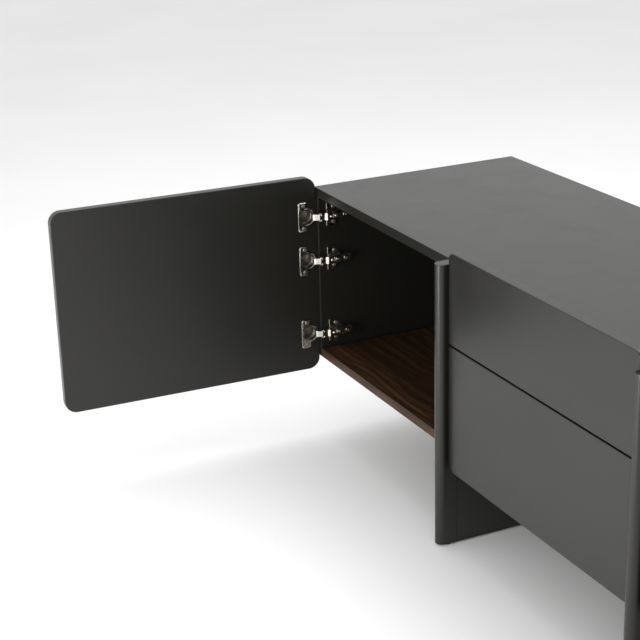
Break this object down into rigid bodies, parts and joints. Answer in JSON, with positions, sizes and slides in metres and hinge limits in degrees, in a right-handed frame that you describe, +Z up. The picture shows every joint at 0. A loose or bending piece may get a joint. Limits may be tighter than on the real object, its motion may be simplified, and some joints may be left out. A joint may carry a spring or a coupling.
{
  "type": "sideboard",
  "caption": "Low sideboard with hinged doors on concealed hinges beside stacked handleless drawers, on full-depth upright slab legs.",
  "frame": {"origin": "centre of the bounding box's footprint at floor level, as stored with the left door standing open", "axes": "+X to the right along the sideboard as seen from the front, +Y from the fronts towards the back, +Z up"},
  "size_m": [1.743, 1.0331, 0.572],
  "materials": {
    "grey_lacquer": "satin anthracite lacquer on board",
    "walnut": "oiled walnut veneer",
    "beech": "raw fluted dowel",
    "hinge_nickel": "nickel plated steel",
    "rail_steel": "zinc plated steel",
    "zinc_screw": "bright zinc",
    "glide": "moulded glide"
  },
  "bodies": {
    "carcass": {"top_panel": "grey_lacquer", "left_end_panel": "grey_lacquer", "right_end_panel": "grey_lacquer", "left_upright": "grey_lacquer", "right_upright": "grey_lacquer", "left_bottom": "walnut", "middle_bottom": "walnut", "right_bottom": "walnut", "left_back": "grey_lacquer", "middle_back": "grey_lacquer", "right_back": "grey_lacquer", "floor_glides": "glide", "panel_dowels": "beech", "back_screws": "zinc_screw", "left_mounting_plates": "hinge_nickel", "left_hinge_arms": "hinge_nickel", "left_plate_screws": "zinc_screw", "right_mounting_plates": "hinge_nickel", "right_hinge_arms": "hinge_nickel", "right_plate_screws": "zinc_screw", "upper_cabinet_rails": "rail_steel", "lower_cabinet_rails": "rail_steel", "rail_screws": "zinc_screw"},
    "left_door": {"left_door_panel": "grey_lacquer", "left_hinge_cups": "hinge_nickel", "left_cup_screws": "zinc_screw"},
    "right_door": {"right_door_panel": "grey_lacquer", "right_hinge_cups": "hinge_nickel", "right_cup_screws": "zinc_screw"},
    "left_links": {"left_hinge_links": "hinge_nickel"},
    "right_links": {"right_hinge_links": "hinge_nickel"},
    "upper_drawer": {"upper_drawer_front": "grey_lacquer", "upper_drawer_box_front": "grey_lacquer", "upper_drawer_left_side": "grey_lacquer", "upper_drawer_right_side": "grey_lacquer", "upper_drawer_back": "grey_lacquer", "upper_drawer_bottom": "walnut", "upper_drawer_screws": "zinc_screw", "upper_drawer_rail_screws": "zinc_screw", "upper_drawer_rails": "rail_steel"},
    "lower_drawer": {"lower_drawer_front": "grey_lacquer", "lower_drawer_box_front": "grey_lacquer", "lower_drawer_left_side": "grey_lacquer", "lower_drawer_right_side": "grey_lacquer", "lower_drawer_back": "grey_lacquer", "lower_drawer_bottom": "walnut", "lower_drawer_screws": "zinc_screw", "lower_drawer_rail_screws": "zinc_screw", "lower_drawer_rails": "rail_steel"},
    "upper_runner_middle": {"upper_middle_rails": "rail_steel"},
    "lower_runner_middle": {"lower_middle_rails": "rail_steel"}
  },
  "joints": [
    {"name": "left_door_swing", "type": "hinge", "parent": "carcass", "child": "left_door", "pos_m": [-0.84211, 0.03067, 0.396], "axis": [0, 0, -1], "range_deg": [-92, 12]},
    {"name": "right_door_swing", "type": "hinge", "parent": "carcass", "child": "right_door", "pos_m": [0.86408, 0.03067, 0.396], "axis": [0, 0, 1], "range_deg": [0, 104]},
    {"name": "left_links_fold", "type": "hinge", "parent": "carcass", "child": "left_links", "pos_m": [-0.81802, 0.03987, 0.396], "axis": [0, 0, -1], "range_deg": [-3, 17]},
    {"name": "right_links_fold", "type": "hinge", "parent": "carcass", "child": "right_links", "pos_m": [0.83998, 0.03987, 0.396], "axis": [0, 0, 1], "range_deg": [-19, 1]},
    {"name": "upper_drawer_slide", "type": "slide", "parent": "carcass", "child": "upper_drawer", "axis": [0, -1, 0], "range_m": [0, 0.4]},
    {"name": "lower_drawer_slide", "type": "slide", "parent": "carcass", "child": "lower_drawer", "axis": [0, -1, 0], "range_m": [0, 0.4]},
    {"name": "upper_runner_slide", "type": "slide", "parent": "carcass", "child": "upper_runner_middle", "axis": [0, -1, 0], "range_m": [0, 0.21]},
    {"name": "lower_runner_slide", "type": "slide", "parent": "carcass", "child": "lower_runner_middle", "axis": [0, -1, 0], "range_m": [0, 0.21]}
  ],
  "couplings": [
    {"joint": "left_links_fold", "follows": "left_door_swing", "ratio": -0.16},
    {"joint": "right_links_fold", "follows": "right_door_swing", "ratio": -0.16},
    {"joint": "upper_runner_slide", "follows": "upper_drawer_slide", "ratio": 0.5},
    {"joint": "lower_runner_slide", "follows": "lower_drawer_slide", "ratio": 0.5}
  ]
}
